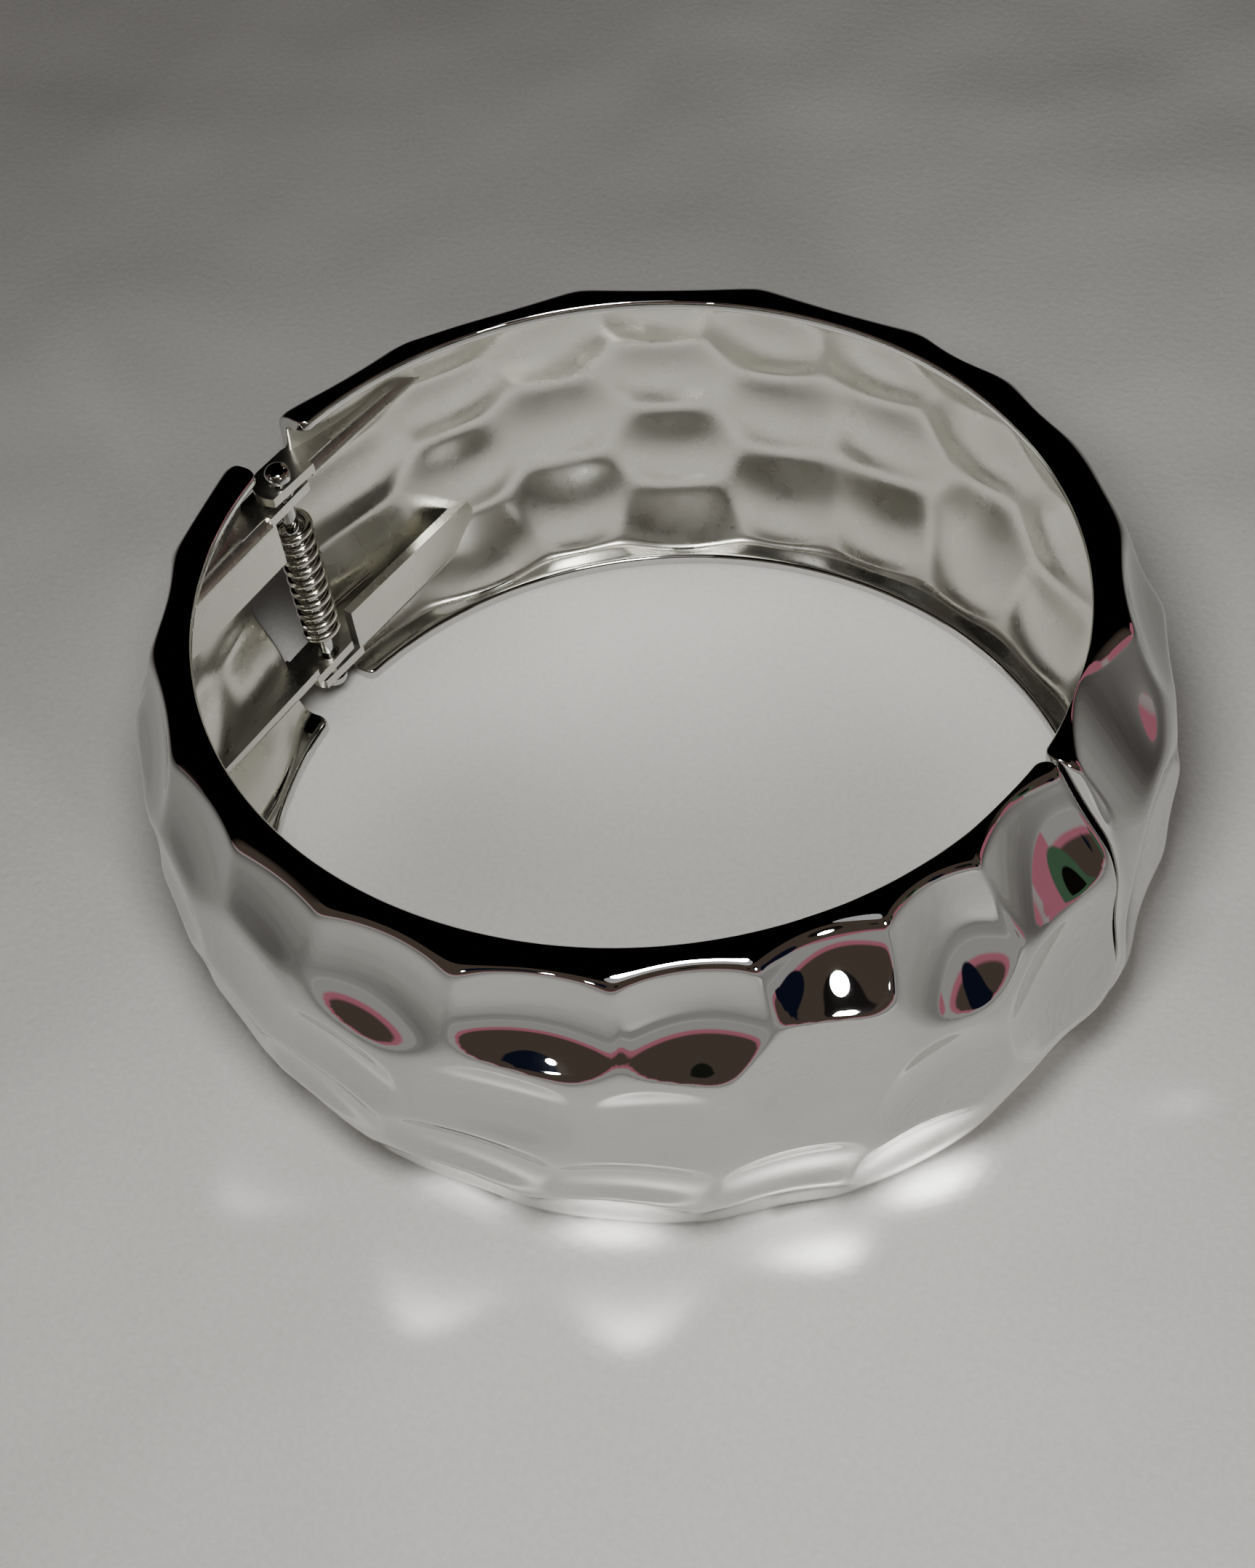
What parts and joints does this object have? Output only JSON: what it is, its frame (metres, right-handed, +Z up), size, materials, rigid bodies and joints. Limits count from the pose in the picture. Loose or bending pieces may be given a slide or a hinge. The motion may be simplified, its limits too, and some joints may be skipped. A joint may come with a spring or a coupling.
{
  "type": "hinged hammered bangle",
  "caption": "Wide barrel-shaped bangle in two hammered half shells that open on a sprung pin hinge, lying on its side.",
  "frame": {"origin": "on the surface that the bangle lies on, under the middle of the band", "axes": "+X from the hinge to the opening, +Y towards the back half, +Z up along the wrist hollow"},
  "size_m": [0.0716, 0.0688, 0.0272],
  "materials": {
    "bright_plate": "mirror-bright silver tone plating over cast and hammered metal, satin inside the band",
    "spring_steel": "bright drawn wire"
  },
  "bodies": {
    "back": {"back_half": "bright_plate", "hinge_pin": "bright_plate", "hinge_spring": "spring_steel"},
    "front": {"front_half": "bright_plate"}
  },
  "joints": [
    {"name": "bangle_hinge", "type": "hinge", "parent": "back", "child": "front", "pos_m": [-0.031, 0, 0.0136], "axis": [0, 0, -1], "range_deg": [0, 50], "stiffness_Nm_per_rad": 0.04, "springref_deg": -34.38, "deforming": ["hinge_spring"]}
  ]
}
